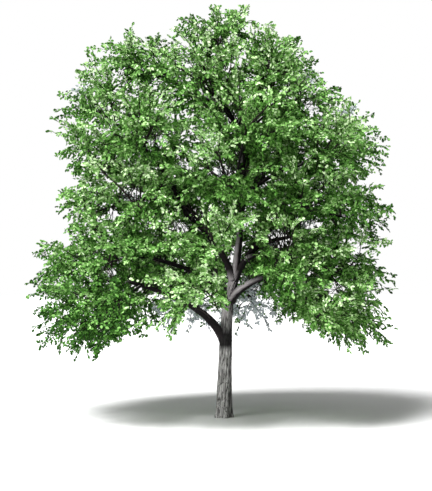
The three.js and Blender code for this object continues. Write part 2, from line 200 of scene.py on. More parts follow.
def barkFinish(name, bark):
    made = Finish(name)
    along = made.node("ShaderNodeAttribute", {"attribute_name": "barkPlace"}, {}, "Vector")
    depth = made.node("ShaderNodeAttribute", {"attribute_name": "furrow"}, {}, "Fac")
    stretched = made.node("ShaderNodeMapping", {}, {"Vector": along, "Scale": (1, 1, bark["stretch"])})
    streaks = {"Vector": stretched, "Scale": bark["streaks"], "Detail": 5.0, "Roughness": bark["streakRough"]}
    streak = made.node("ShaderNodeTexNoise", {}, streaks)
    grain = made.node("ShaderNodeTexNoise", {}, {"Vector": along, "Scale": bark["grain"], "Detail": 3.0})
    tone = made.ramp(streak, bark["tone"])
    height = made.part(made.node("ShaderNodeTexCoord", {}, {}, "Object"), "Z")
    normal = made.node("ShaderNodeNewGeometry", {}, {}, "Normal")
    facingRight = made.part(normal, "X")
    facing = made.part(normal, "Z") * bark["fromAbove"] - facingRight * bark["fromLeft"]  # towards the light
    # painted highlight where the bark faces the light, painted shade where it faces away
    over = made.ramp(facing, bark["over"])
    under = made.ramp(facing, bark["under"])

    # Low on the trunk: grey plates with pale streaks, a painted shadow in the crotch and painted shade down
    # the right side
    lowColour = made.mixed(tone, bark["plate"], bark["pale"])
    lowColour = made.mixed(depth, lowColour, bark["furrow"])
    # painted shadow of the lowest bough across the crotch
    inCrotchShadow = made.ramp(height, bark["crotch"]) * made.ramp(height, bark["crotchEnd"])
    lowColour = made.mixed(inCrotchShadow * bark["crotchShadow"], lowColour, bark["paintedShade"])
    # painted shade down the right side, away from the light
    inRightShade = made.ramp(facingRight, bark["edge"]) * bark["rightShade"]
    lowColour = made.mixed(inRightShade, lowColour, bark["paintedShade"])

    # Higher up: a darker purple-grey, with a painted highlight above and to the left and painted shade,
    # almost black, below and to the right
    toneShare = bark["toneShare"]
    highColour = made.mixed(tone * toneShare + over * (1 - toneShare), bark["high"], bark["highHighlight"])
    highColour = made.mixed(under, highColour, bark["paintedShade"])
    shaded = made.ramp(facingRight, bark["shaded"]) * bark["shadedDark"]
    highColour = made.mixed(shaded, highColour, bark["paintedShade"])
    colour = made.mixed(made.ramp(height, bark["highFrom"]), lowColour, highColour)
    # further along a bough: painted shade under the crown, with a painted highlight towards the light
    if bark["shadeAlong"]:
        boughShadeColour = made.mixed(over, bark["boughShade"], bark["boughShadeHighlight"])
        boughShadeColour = made.mixed(under, boughShadeColour, bark["paintedShade"])
        colour = made.mixed(made.ramp(made.part(along, "Z"), bark["shadeAlong"]), colour, boughShadeColour)

    relief = streak * (1 - bark["grainShare"]) + grain * bark["grainShare"]
    bump = {"Height": relief, "Strength": bark["bump"], "Distance": bark["bumpDeep"]}
    made.give(made.shader, {
        "Base Color": colour, "Normal": made.node("ShaderNodeBump", {}, bump),
        "Roughness": bark["smoothest"] + grain * bark["rougher"], "Specular IOR Level": bark["specular"],
    })
    return made.material


leafTones = [  # from the shaded inside of the crown to the sunlit tips, and the far leaves last: partly the real darker shade leaves, partly painted shade and painted highlights
    ("leaves in deep shade", fromScreen(34, 76, 14)),
    ("leaves in shade", fromScreen(62, 110, 34)),
    ("leaves inside", fromScreen(90, 140, 60)),
    ("leaves outside", fromScreen(120, 168, 88)),
    ("sunlit leaves", fromScreen(164, 204, 132)),
    # the palest tone is a painted highlight
    ("leaves with painted highlight", fromScreen(216, 240, 192)),
    ("hazy leaves", fromScreen(214, 222, 225)),
]
hazyTone = len(leafTones) - 1
highlightTone = hazyTone - 1
plain = {
    "twigTone": fromScreen(40, 34, 33), "specular": 0.15,
    "twigRough": 0.8, "leafRough": 0.65, "floorRough": 0.9,
}


def plainFinish(name, colour, roughness):
    made = Finish(name)
    inputs = {"Base Color": colour, "Roughness": roughness, "Specular IOR Level": plain["specular"]}
    made.give(made.shader, inputs)
    return made.material


# Skeleton, by the same rule as the solids
crown = {
    "top": 14.96, "depthShare": 0.94, "deepest": 6.08,
    "outline": [  # height, reach to the left, reach to the right
        [2.4, 5.8, 5.8], [3.6, 7.45, 6.3], [5.7, 7.3, 6.35], [7.6, 6.45, 6.3], [9.9, 6.6, 6.05],
        [11.4, 6.3, 5.2], [12.6, 5.6, 4.0], [13.7, 4.2, 2.8], [14.4, 2.6, 1.8], [15.0, 0.3, 0.9]],
    "edge": [  # the crown's lobes, in the same way
        [2.4, 6.54, 6.16], [3.0, 7.04, 6.31], [4.4, 7.24, 6.26], [5.3, 7.14, 6.36], [5.9, 7.04, 5.66],
        [6.5, 6.79, 6.31], [7.0, 6.04, 6.16], [7.6, 6.14, 6.36], [7.9, 6.24, 5.96], [8.8, 5.64, 5.96],
        [9.7, 6.29, 6.06], [10.2, 6.44, 6.01], [11.1, 6.24, 5.51], [11.7, 6.04, 4.76], [12.3, 5.69, 3.81],
        [12.9, 5.44, 3.46], [13.4, 4.89, 3.31], [14.0, 3.64, 2.41], [14.3, 3.44, 1.86], [14.5, 1.44, 1.06],
        [15.0, 0.29, 0.96]],
    "skirt": [  # how far to the right, and the height of the lowest leaves there
        [-7.2, 2.85], [-5.8, 2.5], [-4.6, 2.4], [-3.4, 3.15], [-2.3, 3.15], [-1.3, 3.3], [0.0, 3.4],
        [1.6, 3.5], [2.4, 3.75], [3.0, 3.5], [3.8, 3.0], [5.0, 2.45], [6.2, 2.95]],
    "fringe": 0.2, "fringeTurns": [[5, 2, 2.3], [13, 3, 5]], "fringeSecond": 0.6,
    "behind": 1.0, "behindWide": 2.2, "behindLower": 0.3,  # the skirt hangs lower behind the trunk
    "ragged": 0.1, "raggedSize": 1.1, "raggedTurns": [2.9, 4, 3, 9, 1.7],
}
trunk = {
    "height": 5.23, "lean": 0.16, "bend": 0.33, "bendPower": 8, "foot": 0.285, "fork": 0.18,
    "flare": 0.052, "flareHeight": 0.52, "buttresses": 5, "buttressDepth": 0.14,
    "sides": 16, "rings": 26, "fineness": 3, "crowding": 1.25,
}
bough = {
    "tip": 0.058, "cover": 0.62, "taper": 0.8, "crook": 0.03, "crookTurns": 7, "crookShift": 1.7,
    "rising": 0.75, "startPull": 0.35, "endPull": 0.3, "sides": 8, "rings": 16, "fineness": 2,
    "grainSpan": 0.05, "collar": 0.45, "collarLength": 0.22, "startShare": 0.86, "opening": 0.35,
}
mass = {"radial": 1.75, "across": 2.0, "tall": 1.4, "hubDrop": 0.25, "near": 5.0, "seedStep": 1009}
stem = {"foot": 0.054, "hub": 0.03, "arch": 0.08, "spacing": 0.12, "rings": 7}
# What carries each bough and where, its radius, and its masses: bearing, height, size, share of the way out
boughs = {
    "centre_leader": {
        "from": "trunk", "at": 0.97, "radius": 0.15, "cover": 0.8, "pale": True,
        "masses": [[200, 14.2, 0.68, 0.1], [172, 13.05, 0.85], [352, 13.05, 0.8]]},
    "left_leader": {
        "from": "trunk", "at": 0.95, "radius": 0.14, "cover": 0.58, "lift": 0.9,
        "masses": [[180, 7.8], [224, 8.3], [178, 9.8]]},
    "right_leader": {
        "from": "trunk", "at": 0.95, "radius": 0.135, "rising": 1.5, "lift": 0.8,
        "masses": [[355, 7.6], [314, 8.1]]},
    "low_left": {
        "from": "trunk", "at": 0.52, "radius": 0.185, "cover": 0.68, "rising": 1.3, "lift": 1.5,
        "masses": [[178, 3.85], [214, 3.9]]},
    "low_right": {
        "from": "trunk", "at": 0.8, "radius": 0.185, "cover": 0.6, "rising": 1.3, "lift": 1.5, "pale": True,
        "masses": [[355, 3.7], [319, 3.8]]},
    "mid_left": {
        "from": "trunk", "at": 0.79, "radius": 0.12, "cover": 0.66, "rising": 1.1, "lift": 0.65,
        "masses": [[177, 5.8], [215, 6.1]]},
    "front_low": {
        "from": "trunk", "at": 0.76, "radius": 0.1, "cover": 0.6, "lift": 0.3,
        "masses": [[258, 4.6], [266, 6.9]]},
    "back_low": {
        "from": "trunk", "at": 0.7, "radius": 0.115, "lift": 0.5,
        "masses": [[74, 4.2], [110, 4.2], [100, 6.4]]},
    "left_back": {
        "from": "low_left", "at": 0.35, "radius": 0.085, "lift": 0.3, "masses": [[139, 6.1], [144, 4.1]]},
    "right_back": {
        "from": "low_right", "at": 0.3, "radius": 0.085, "lift": 0.3, "masses": [[36, 4.1], [58, 6.2]]},
    "right_front": {
        "from": "right_leader", "at": 0.25, "radius": 0.09, "lift": 0.2, "masses": [[338, 5.6], [298, 6.1]]},
    "right_rear": {"from": "right_leader", "at": 0.35, "radius": 0.09, "masses": [[16, 5.7], [40, 8.1]]},
    "left_rear": {"from": "left_leader", "at": 0.35, "radius": 0.085, "masses": [[136, 8.1], [127, 10.2]]},
    "upper_left": {"from": "left_leader", "at": 0.62, "radius": 0.08, "masses": [[178, 11.5], [226, 10.4]]},
    "front_high": {"from": "centre_leader", "at": 0.22, "radius": 0.09, "masses": [[268, 9.0], [282, 10.9]]},
    "back_high": {"from": "centre_leader", "at": 0.3, "radius": 0.09, "masses": [[88, 8.5], [74, 10.5]]},
    "upper_right": {"from": "centre_leader", "at": 0.38, "radius": 0.085, "masses": [[334, 10.0], [16, 9.9]]},
    "crown_top": {
        "from": "centre_leader", "at": 0.56, "radius": 0.075, "cover": 0.4,
        "masses": [[318, 11.8], [20, 11.7], [248, 12.45, 0.95, 0.72], [104, 12.45, 0.95, 0.72]]},
}


def crownReach(bearing, height, outline="outline"):
    table = np.array(crown[outline])
    left = np.interp(height, table[:, 0], table[:, 1])
    right = np.interp(height, table[:, 0], table[:, 2])
    wide = np.where(np.cos(bearing) > 0, right, left)
    deep = crown["depthShare"] * (left + right) / 2
    return 1 / np.hypot(np.cos(bearing) / wide, np.sin(bearing) / deep)


def curveThrough(points):  # a Bezier curve of any order, for one share or many
    def at(share):
        share = np.asarray(share, float)[..., None]
        rows = [np.asarray(p, float) + 0 * share for p in points]
        while len(rows) > 1:
            rows = [a + (b - a) * share for a, b in zip(rows, rows[1:])]
        return rows[0]
    return at


def trunkPath(share):
    share = np.asarray(share, float)
    across = trunk["lean"] * share + trunk["bend"] * share ** trunk["bendPower"]
    return np.stack([across, 0 * share, trunk["height"] * share], axis=-1)


def trunkGirth(share, turn):
    swell = np.exp(-trunk["height"] * share / trunk["flareHeight"])
    radius = trunk["foot"] + (trunk["fork"] - trunk["foot"]) * share + trunk["flare"] * swell
    return radius * (1 + trunk["buttressDepth"] * swell * np.cos(trunk["buttresses"] * turn))


def boughRadius(plan, share):
    return plan["radius"] + (bough["tip"] - plan["radius"]) * share ** bough["taper"]


def planMass(row):
    bearing, height, size, share = (row + [1, 1])[:4]
    bearing = math.radians(bearing)
    outward = np.array([math.cos(bearing), math.sin(bearing), 0.0])
    out = share * (float(crownReach(bearing, height)) - mass["radial"] * size)
    return {
        "size": size, "centre": outward * out + up * height, "outward": outward,
        "across": np.array([-outward[1], outward[0], 0.0]),
    }


def boughPath(plan, place):
    start, tip = plan["start"], plan["end"]
    length = np.linalg.norm(tip - start)
    way = unit(tip - start)
    flat = unit(way * level)
    leaving = unit(plan.get("rising", bough["rising"]) * plan["grain"] + way) * bough["startPull"] * length
    arriving = unit(way + flat) * bough["endPull"] * length
    curve = curveThrough([start, start + leaving, tip - arriving, tip])
    sideways = np.cross(up, flat)

    def at(share):
        share = np.asarray(share, float)
        turns = np.sin(bough["crookTurns"] * share + bough["crookShift"] * place)
        wander = bough["crook"] * length * np.sin(math.pi * share) * turns
        return curve(share) + sideways * wander[..., None]
    return at, length


paths = {"trunk": trunkPath}
masses = []
for place, (name, plan) in enumerate(boughs.items()):
    carrier = paths[plan["from"]]
    plan["spaces"] = [planMass(row) for row in plan["masses"]]
    plan["start"] = carrier(plan["at"])
    plan["grain"] = unit(carrier(plan["at"] + bough["grainSpan"]) - carrier(plan["at"] - bough["grainSpan"]))
    reach = np.mean([space["centre"] for space in plan["spaces"]], axis=0) - plan["start"]
    plan["end"] = plan["start"] + reach * plan.get("cover", bough["cover"]) + up * plan.get("lift", 0)
    paths[name], plan["length"] = boughPath(plan, place)
    for order, space in enumerate(plan["spaces"]):
        foot = paths[name](1 - stem["spacing"] * order)
        hub = space["centre"] - up * mass["hubDrop"] * mass["tall"] * space["size"]
        bend = (foot + hub) / 2 + up * stem["arch"] * np.linalg.norm(hub - foot)
        space.update(bough=name, node=f"foliage_{name}_{order + 1}", seed=len(masses) + 1)
        space["stemPath"] = curveThrough([foot, bend, hub])
        masses.append(space)
print("skeleton:", len(boughs), "boughs,", len(masses), "masses of foliage")


# Limbs: a straight pole is modelled once for each kind, copied, and laid along each limb
relief = {
    "furrows": 13.0, "stretch": 0.11, "bend": 0.35, "bendSize": [3, 3, 1.3], "sharpness": 5.44,
    "second": 1.9, "secondStretch": 2.2, "secondShift": 7, "secondFainter": 1.5, "depth": 0.016,
    "fine": 41.0, "fineDepth": 0.005, "lumps": 2.1, "lumpDepth": 0.012,
    "stations": 65, "boughShare": 0.55, "stemShare": 0.275, "capShare": 0.999,
}


def modelPole(name, sides, rings, fineness):
    bpy.ops.mesh.primitive_circle_add(vertices=sides, radius=1, fill_type="NGON", location=(0, 0, 0))
    pole = bpy.context.object
    pole.name = name
    bpy.ops.object.mode_set(mode="EDIT")
    for _ in range(rings):
        bpy.ops.mesh.extrude_region_move(TRANSFORM_OT_translate={"value": (0, 0, 1)})
    bpy.ops.mesh.select_all(action="SELECT")
    bpy.ops.mesh.normals_make_consistent(inside=False)
    bpy.ops.object.mode_set(mode="OBJECT")
    smooth = pole.modifiers.new("finer", "SUBSURF")
    smooth.subdivision_type = "SIMPLE"
    smooth.levels = smooth.render_levels = fineness
    bpy.ops.object.modifier_apply(modifier=smooth.name)
    pole.select_set(False)
    return {"object": pole, "sides": sides, "rings": rings}


def ringFrames(centres):  # two ways square to the limb at each station, without twist
    ways = unit(np.gradient(centres, axis=0))
    side = np.array([1.0, 0, 0]) if abs(ways[0][0]) < 0.8 else np.array([0, 1.0, 0])
    sides = []
    for way in ways:
        side = unit(side - way * dot(side, way))
        sides.append(side)
    sides = np.array(sides)
    return sides, np.cross(ways, sides)


def furrowDepth(place):  # 0 on a plate, 1 in a furrow
    x, y, z = place
    scale, stretch, second = relief["furrows"], relief["stretch"], relief["second"]
    bend = relief["bend"] * noise.noise(Vector(place * relief["bendSize"]))
    ridge = abs(noise.noise(Vector((x * scale + bend, y * scale, z * scale * stretch))))
    shifted = y * scale * second + relief["secondShift"]
    longer = z * scale * stretch * relief["secondStretch"]
    finer = abs(noise.noise(Vector((x * scale * second, shifted, longer))))
    return max(0.0, 1 - relief["sharpness"] * min(ridge, finer * relief["secondFainter"]))


def layLimb(name, pole, centreLine, girth, share, ringsLevel=False, crowding=1.0):
    mesh = pole["object"].data.copy()
    mesh.name = name
    limb = bpy.data.objects.new(name, mesh)
    bpy.context.collection.objects.link(limb)
    flat = np.empty(len(mesh.vertices) * 3)
    mesh.vertices.foreach_get("co", flat)
    place = flat.reshape(-1, 3)
    turn = np.arctan2(place[:, 1], place[:, 0])
    wall = math.cos(math.pi / pole["sides"]) * relief["capShare"]
    inside = np.minimum(1, np.hypot(place[:, 0], place[:, 1]) / wall)
    along = np.clip(place[:, 2] / pole["rings"], 0, 1) ** crowding
    stations = np.linspace(0, 1, relief["stations"])
    centres = centreLine(stations)
    sides, others = ringFrames(centres)
    if ringsLevel:  # as on a trunk
        sides, others = sides * 0 + [1.0, 0, 0], others * 0 + [0, 1.0, 0]

    def between(rows):
        return np.stack([np.interp(along, stations, column) for column in rows.T], axis=-1)

    runs = np.concatenate([[0], np.cumsum(np.linalg.norm(np.diff(centres, axis=0), axis=1))])
    radius = girth(along, turn)
    run = np.interp(along, stations, runs)
    barkPlace = np.stack([np.cos(turn) * radius, np.sin(turn) * radius, run], axis=-1)
    furrow = np.array([furrowDepth(p) for p in barkPlace])
    lumps = np.array([noise.noise(Vector(p * relief["lumps"])) for p in barkPlace])
    finely = relief["fine"] * np.array([1, 1, relief["stretch"]])
    fine = np.array([noise.noise(Vector(p * finely)) for p in barkPlace])
    hollow = relief["depth"] * furrow - relief["lumpDepth"] * lumps - relief["fineDepth"] * fine
    spread = ((radius - share * hollow) * inside)[:, None]
    outwards = np.cos(turn)[:, None] * between(sides) + np.sin(turn)[:, None] * between(others)
    mesh.vertices.foreach_set("co", (between(centres) + spread * outwards).ravel())
    mesh.attributes.new("barkPlace", "FLOAT_VECTOR", "POINT").data.foreach_set("vector", barkPlace.ravel())
    mesh.attributes.new("furrow", "FLOAT", "POINT").data.foreach_set("value", furrow)
    mesh.polygons.foreach_set("use_smooth", np.ones(len(mesh.polygons), bool))
    mesh.update()
    return limb


def joinPieces(pieces, name):
    bpy.ops.object.select_all(action="DESELECT")
    for piece in pieces:
        piece.select_set(True)
    bpy.context.view_layer.objects.active = pieces[0]
    bpy.ops.object.join()
    pieces[0].name = name
    bpy.ops.object.select_all(action="DESELECT")
    return pieces[0]


def finishLimb(limb, node, material):
    limb.data.materials.clear()
    limb.data.materials.append(material)
    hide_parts(node)
    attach(limb, "root")


def boughGirth(plan):  # never wider than the limb it leaves, where it leaves it
    fromTrunk = plan["from"] == "trunk"
    carrier = trunkGirth(plan["at"], 0) if fromTrunk else boughRadius(boughs[plan["from"]], plan["at"])
    room = carrier * bough["startShare"]

    def girth(share, turn):
        run = share * plan["length"]
        full = boughRadius(plan, share) * (1 + bough["collar"] * np.exp(-run / bough["collarLength"]))
        return np.minimum(full, room + run * bough["opening"])
    return girth


def stemGirth(share, turn):
    return stem["foot"] + (stem["hub"] - stem["foot"]) * share


def makeLimbs(trunkMaterial, boughMaterial, paleMaterial):
    trunkPole = modelPole("trunk_pole", trunk["sides"], trunk["rings"], trunk["fineness"])
    boughPole = modelPole("bough_pole", bough["sides"], bough["rings"], bough["fineness"])
    stemPole = modelPole("stem_pole", bough["sides"], stem["rings"], 1)
    trunkLimb = layLimb("trunk_bark", trunkPole, trunkPath, trunkGirth, 1.0, True, trunk["crowding"])
    finishLimb(trunkLimb, "trunk", trunkMaterial)
    for name, plan in boughs.items():
        pieces = [layLimb(name, boughPole, paths[name], boughGirth(plan), relief["boughShare"])]
        for space in plan["spaces"]:
            stemName = space["node"] + "_stem"
            pieces.append(layLimb(stemName, stemPole, space["stemPath"], stemGirth, relief["stemShare"]))
        material = paleMaterial if plan.get("pale") else boughMaterial
        finishLimb(joinPieces(pieces, name + "_bark"), name, material)
    for pole in (trunkPole, boughPole, stemPole):
        bpy.data.objects.remove(pole["object"])
    print("limbs: bark laid on the trunk and", len(boughs), "boughs")


# Foliage: from each stem, branchlets part into twigs that fill the mass's own space, and each
# twig ends in a flat spray of shoots with alternate leaves
spray = {
    "twigs": 58, "smallestShare": 0.35, "branchlets": 9,  # in a mass of size 1, and fewer in a smaller one
    "shoots": 10, "leaves": 7,  # on each twig, on each shoot
    "candidates": 700, "spread": 1.3, "crowding": 0.36,  # places tried for twig ends, crowded to the outside
    "stemFrom": 0.42, "branchletReach": 0.72, "twigFrom": 0.4, "arch": 0.14, "ahead": 0.02,
    "upward": 0.8, "outward": 1.3, "level": 0.4, "faceFreedom": 0.5,
    "shootFrom": 0.2, "shootAngle": 0.95, "narrowing": 0.15, "lastAngle": 0.15, "shootFreedom": 1.5,
    "shootLength": [0.2, 0.32], "lengthFreedom": 0.5, "shortened": 0.75, "shortenings": 3,
    "droop": 0.16, "lift": 1.0,
    "leafFrom": 0.06, "leafAngle": 1.0, "leafFreedom": 1.1, "endTurn": 0.5, "endTurnPower": 4,
    "wayFreedom": 0.2, "leafDroop": 0.15, "tilt": 1.0,
    "clear": 0.06, "leafMargin": 0.02, "twigMargin": 0.06, "fewest": 3, "openRoom": 1.4,
}
tones = {  # which leaf tone: lighter above and outside as painted light, darker inside and below as painted shade, partly the real sun and shade leaves, and a scatter from leaf to leaf
    "middle": 2.2, "height": 1.2, "outness": 0.8, "fromAbove": 0.25, "byTwig": 0.8, "alongTwig": 0.8,
    "twigMiddle": 0.6, "byLeaf": 3.8, "byShoot": 0.6, "rimFrom": 0.8, "rimShade": 1.6,
}
inner = {  # short leafy twigs along the boughs, their leaves darkened as painted shade
    "from": 0.3, "to": 1.0, "twigsPerMetre": 13, "length": 1.25, "lengthFrom": 0.7, "lengthFreedom": 0.6,
    "rising": 0.5, "square": 0.5, "ahead": 0.4, "above": 4.6, "lower": {"front_low": 3.9},
    "innerShade": 0.9, "middleDrop": 1.0, "size": 3.0,
}
leaf = {
    "length": 0.12, "width": 0.078, "lengthFreedom": 0.3, "fold": 0.16,
    "shoulder": 0.36, "upperShoulder": 0.74, "upperWidth": 0.78,
}
twig = {
    "branchlet": 0.026, "foot": 0.014, "tip": 0.005, "stations": 3, "branchletStations": 5,
    "flatness": 0.5, "wing": 0.6, "shootFoot": 0.005,
}
windows = [  # gaps between the leaves: middle across, middle height, half width, half height, how far back
    [4.8, 6.15, 0.28, 0.24, 9], [5.85, 5.95, 0.34, 0.26, 9], [-5.65, 6.5, 0.26, 0.24, 9],
    [-6.3, 6.95, 0.45, 0.22, 9], [-6.2, 8.65, 0.55, 0.32, 9], [6.1, 8.0, 0.35, 0.22, 9],
    [-5.9, 9.9, 0.3, 0.2, 9], [-2.45, 14.15, 0.4, 0.22, 9], [-1.6, 6.95, 0.3, 0.24, 1],
    [-3.3, 8.1, 0.5, 0.32, 1], [-4.1, 5.3, 0.32, 0.2, 1], [2.0, 6.5, 0.48, 0.42, 0.5],
    [3.1, 7.05, 0.35, 0.2, 0.5], [-2.35, 3.9, 0.34, 0.28, 0.3], [3.1, 11.3, 0.35, 0.32, 1],
    [-2.4, 10.1, 0.45, 0.22, 1], [-1.4, 9.2, 0.3, 0.16, 0.8], [3.95, 4.75, 0.3, 0.22, 4],
    [3.1, 5.3, 0.28, 0.17, 4], [-0.7, 3.4, 0.7, 0.45, 0.4], [0.15, 3.4, 0.32, 0.75, 0],
    [1.15, 3.7, 0.75, 0.75, 0.6], [0.98, 4.75, 0.35, 0.28, 0.6], [0.42, 5.78, 0.2, 0.5, 0],
    [0.0, 8.95, 0.55, 0.3, -0.2], [0.25, 10.95, 0.32, 0.26, -0.2], [-4.05, 7.4, 0.3, 0.2, 4],
]
bare = {  # how leaves are left out before a limb that shows, and how the nearest limbs are found
    "room": 0.15, "ragged": 0.5, "raggedTurns": [23, 9], "passing": 0.12, "step": 0.1,
    "segments": 12, "around": 0.5,
}
bareLimbs = {  # stretches that show between the leaves, by share of the limb's length
    "low_left": [[0.0, 0.36], [0.72, 0.97]], "low_right": [[0.16, 0.55]], "mid_left": [[0.5, 0.8]],
    "left_leader": [[0.04, 0.24], [0.42, 0.53]], "right_leader": [[0.0, 0.22], [0.3, 0.4]],
    "centre_leader": [[0.0, 0.2], [0.5, 0.6], [0.78, 0.82]],
    "upper_right": [[0.3, 0.42]], "upper_left": [[0.3, 0.42]], "left_rear": [[0.45, 0.6]],
}
haze = {  # far leaves seen through the gaps and under the crown are pale
    "depth": 3.5, "share": 0.85, "open": 0.7, "masses": ["foliage_back_low_1", "foliage_back_low_2"],
    "below": 4.9, "before": 5.7, "left": -2.3, "right": 2.7, "thinner": 0.28,
    "tuftFrom": 0.0, "tuftTo": 1.5, "tufts": [
        [-5.25, 12.05, 0.42, 0.38], [4.45, 11.3, 0.35, 0.3], [3.2, 12.55, 0.25, 0.35]],
}
lighter = {  # by how many tones a bough's leaves are lighter
    "front_low": 0.7, "left_leader": 0.4, "low_left": -1.3, "left_back": -0.6, "mid_left": -0.3,
    "right_leader": -0.6, "right_rear": -0.5, "crown_top": -0.1,
}


def powerDistance(space, points):
    return ((points - space["centre"]) ** 2).sum(axis=-1) - (space["size"] * mass["radial"]) ** 2


def inOwnSpace(space, near, points):
    own = powerDistance(space, points)
    inside = np.ones(points.shape[:-1], bool)
    for other in near:
        inside &= powerDistance(other, points) > own
    return inside


def crownWaves(bearing, z):  # 0 to 1, how far the crown's edge is drawn in
    tall, sway, swayDeep, about, climb = crown["raggedTurns"]
    upwards = np.sin(z * tall / crown["raggedSize"] + swayDeep * np.sin(bearing * sway))
    return 0.5 + 0.5 * upwards * np.sin(bearing * about + z * climb)


def skirtFringe(x, y):  # waves along the lowest leaves
    waves = [np.sin(x * turns + deep * np.sin(y * cross)) for turns, deep, cross in crown["fringeTurns"]]
    return waves[0] + crown["fringeSecond"] * waves[1]


def withinCrown(points, margin):
    x, y, z = points[..., 0], points[..., 1], points[..., 2]
    bearing = np.arctan2(y, x)
    reach = crownReach(bearing, z, "edge") - crown["ragged"] * crownWaves(bearing, z)
    behind = (np.abs(x) < crown["behindWide"]) & (y > crown["behind"])
    skirt = np.interp(x, *np.array(crown["skirt"]).T) + crown["fringe"] * skirtFringe(x, y)
    inside = seenHeight(points) > skirt - crown["behindLower"] * behind + margin
    inside &= (np.hypot(x, y) < reach - margin) & (z < crown["top"] - margin)
    return inside & (np.abs(y) < crown["deepest"] - margin)


def limbSegments():  # straight pieces of each limb, a little thicker than the limb
    rows = []
    for name, centreLine in paths.items():
        shares = np.linspace(0, 1, bare["segments"] + 1)
        if name == "trunk":
            radii = trunkGirth(shares, 0)
        else:
            radii = boughs[name]["radius"] + (bough["tip"] - boughs[name]["radius"]) * shares
        centres = centreLine(shares)
        rows += zip(centres, centres[1:], np.maximum(radii[1:], radii[:-1]))
    return rows


def inFrontOfLimbs(points, rng):  # true where a leaf would hide a stretch of limb that shows
    hiding = np.zeros(len(points), bool)
    byShare, byPlace = bare["raggedTurns"]
    for name, stretches in bareLimbs.items():
        for begin, end in stretches:
            shares = np.arange(begin, end, bare["step"] / boughs[name]["length"])
            for place, share in zip(paths[name](shares), shares):
                radius = boughRadius(boughs[name], share)
                ragged = math.sin(byShare * share + place[0] * byPlace)
                room = radius + bare["room"] * (1 + bare["ragged"] * ragged)
                away = np.hypot(points[:, 0] - place[0], seenHeight(points) - seenHeight(place))
                hiding |= (away < room) & (points[:, 1] < place[1] + radius)
    return hiding & (rng.random(len(points)) > bare["passing"])


def inOpening(points):  # true where a twig would end in a gap
    inside = np.zeros(len(points), bool)
    for *ellipse, back in windows:
        inside |= (fromEllipse(points, *ellipse) < spray["openRoom"]) & (points[:, 1] < back)
    return inside


def clearOfLimbs(points, segments, clearance):
    clear = np.ones(len(points), bool)
    low, high = points.min(axis=0) - bare["around"], points.max(axis=0) + bare["around"]
    for a, b, radius in segments:
        if np.any(np.maximum(a, b) < low) or np.any(np.minimum(a, b) > high):
            continue
        run = b - a
        share = np.clip(((points - a) @ run) / (run @ run), 0, 1)
        gap = np.linalg.norm(points - a - share[:, None] * run, axis=1)
        clear &= gap > radius + clearance
    return clear


def evenlySpaced(points, count):  # picks points that lie as far from each other as they can
    picked = [0]
    nearest = np.linalg.norm(points - points[0], axis=1)
    for _ in range(min(count, len(points)) - 1):
        picked.append(int(nearest.argmax()))
        nearest = np.minimum(nearest, np.linalg.norm(points - points[picked[-1]], axis=1))
    return points[picked]


def twigEnds(space, near, rng):
    count = spray["candidates"]
    ways = unit(rng.normal(size=(count, 3)))
    reach = spray["spread"] * rng.random(count) ** spray["crowding"]
    axes = np.stack([space["outward"], space["across"], up])
    spread = np.array([mass["radial"], mass["across"], mass["tall"]]) * space["size"]
    points = space["centre"] + (ways * reach[:, None] * spread) @ axes
    return points[inOwnSpace(space, near, points) & withinCrown(points, spray["twigMargin"])]


def growMass(space, segments):
    rng = np.random.default_rng(mass["seedStep"] * space["seed"])
    others = [other for other in masses if other is not space]
    near = [other for other in others if np.linalg.norm(other["centre"] - space["centre"]) < mass["near"]]
    smallest = spray["smallestShare"]
    count = int(round(spray["twigs"] * (smallest + (1 - smallest) * space["size"] ** 2)))
    tips = evenlySpaced(twigEnds(space, near, rng), count)
    feet, bends, branchlets = growBranchlets(space, tips, rng)
    place = {"middle": space["centre"], "size": mass["radial"] * space["size"]}
    place.update(paler=lighter.get(space["bough"], 0), hazy=space["node"] in haze["masses"])
    return (*dressTwigs(feet, bends, tips, place, segments, rng), branchlets)


def growBranchlets(space, tips, rng):  # each heads for the middle of the twig ends that are nearest to it
    heads = tips[:spray["branchlets"]]
    owner = np.linalg.norm(tips[:, None] - heads[None], axis=2).argmin(axis=1)
    feet, bends = np.empty_like(tips), np.empty_like(tips)
    branchlets = []
    for order in range(len(heads)):
        group = owner == order
        share = spray["stemFrom"] + (1 - spray["stemFrom"]) * (order + rng.random()) / len(heads)
        foot = space["stemPath"](share)
        end = foot + (tips[group].mean(axis=0) - foot) * spray["branchletReach"]
        bend = (foot + end) / 2 + up * spray["arch"] * np.linalg.norm(end - foot)
        branchlets.append((foot, bend, end))
        spots = spray["twigFrom"] + (1 - spray["twigFrom"]) * rng.random(group.sum())
        feet[group] = curveThrough(branchlets[-1])(spots)
        run = tips[group] - feet[group]
        bends[group] = feet[group] + run * 0.5 + up * (spray["arch"] * np.linalg.norm(run, axis=1))[:, None]
    return feet, bends, branchlets


def growBough(name, segments, rng):
    count = int(inner["twigsPerMetre"] * boughs[name]["length"])
    share = inner["from"] + (inner["to"] - inner["from"]) * (np.arange(count) + rng.random(count)) / count
    feet = paths[name](share)
    along = unit(paths[name](share + spray["ahead"]) - feet)
    around = unit(rng.normal(size=feet.shape) + up * inner["rising"])
    way = unit(around - along * dot(around, along) * inner["square"] + along * inner["ahead"])
    length = inner["length"] * (inner["lengthFrom"] + inner["lengthFreedom"] * rng.random(len(feet)))
    tips = feet + way * length[:, None]
    bends = (feet + tips) / 2 + up * spray["arch"] * inner["length"]
    keep = feet[:, 2] > inner["lower"].get(name, inner["above"])
    keep &= withinCrown(tips, spray["twigMargin"])
    if not keep.any():
        return None
    middle = feet.mean(axis=0) - up * inner["middleDrop"]
    # leaves on the inner twigs get painted shade
    place = {"middle": middle, "size": inner["size"], "paler": -inner["innerShade"], "hazy": False}
    return (*dressTwigs(feet[keep], bends[keep], tips[keep], place, segments, rng), [])


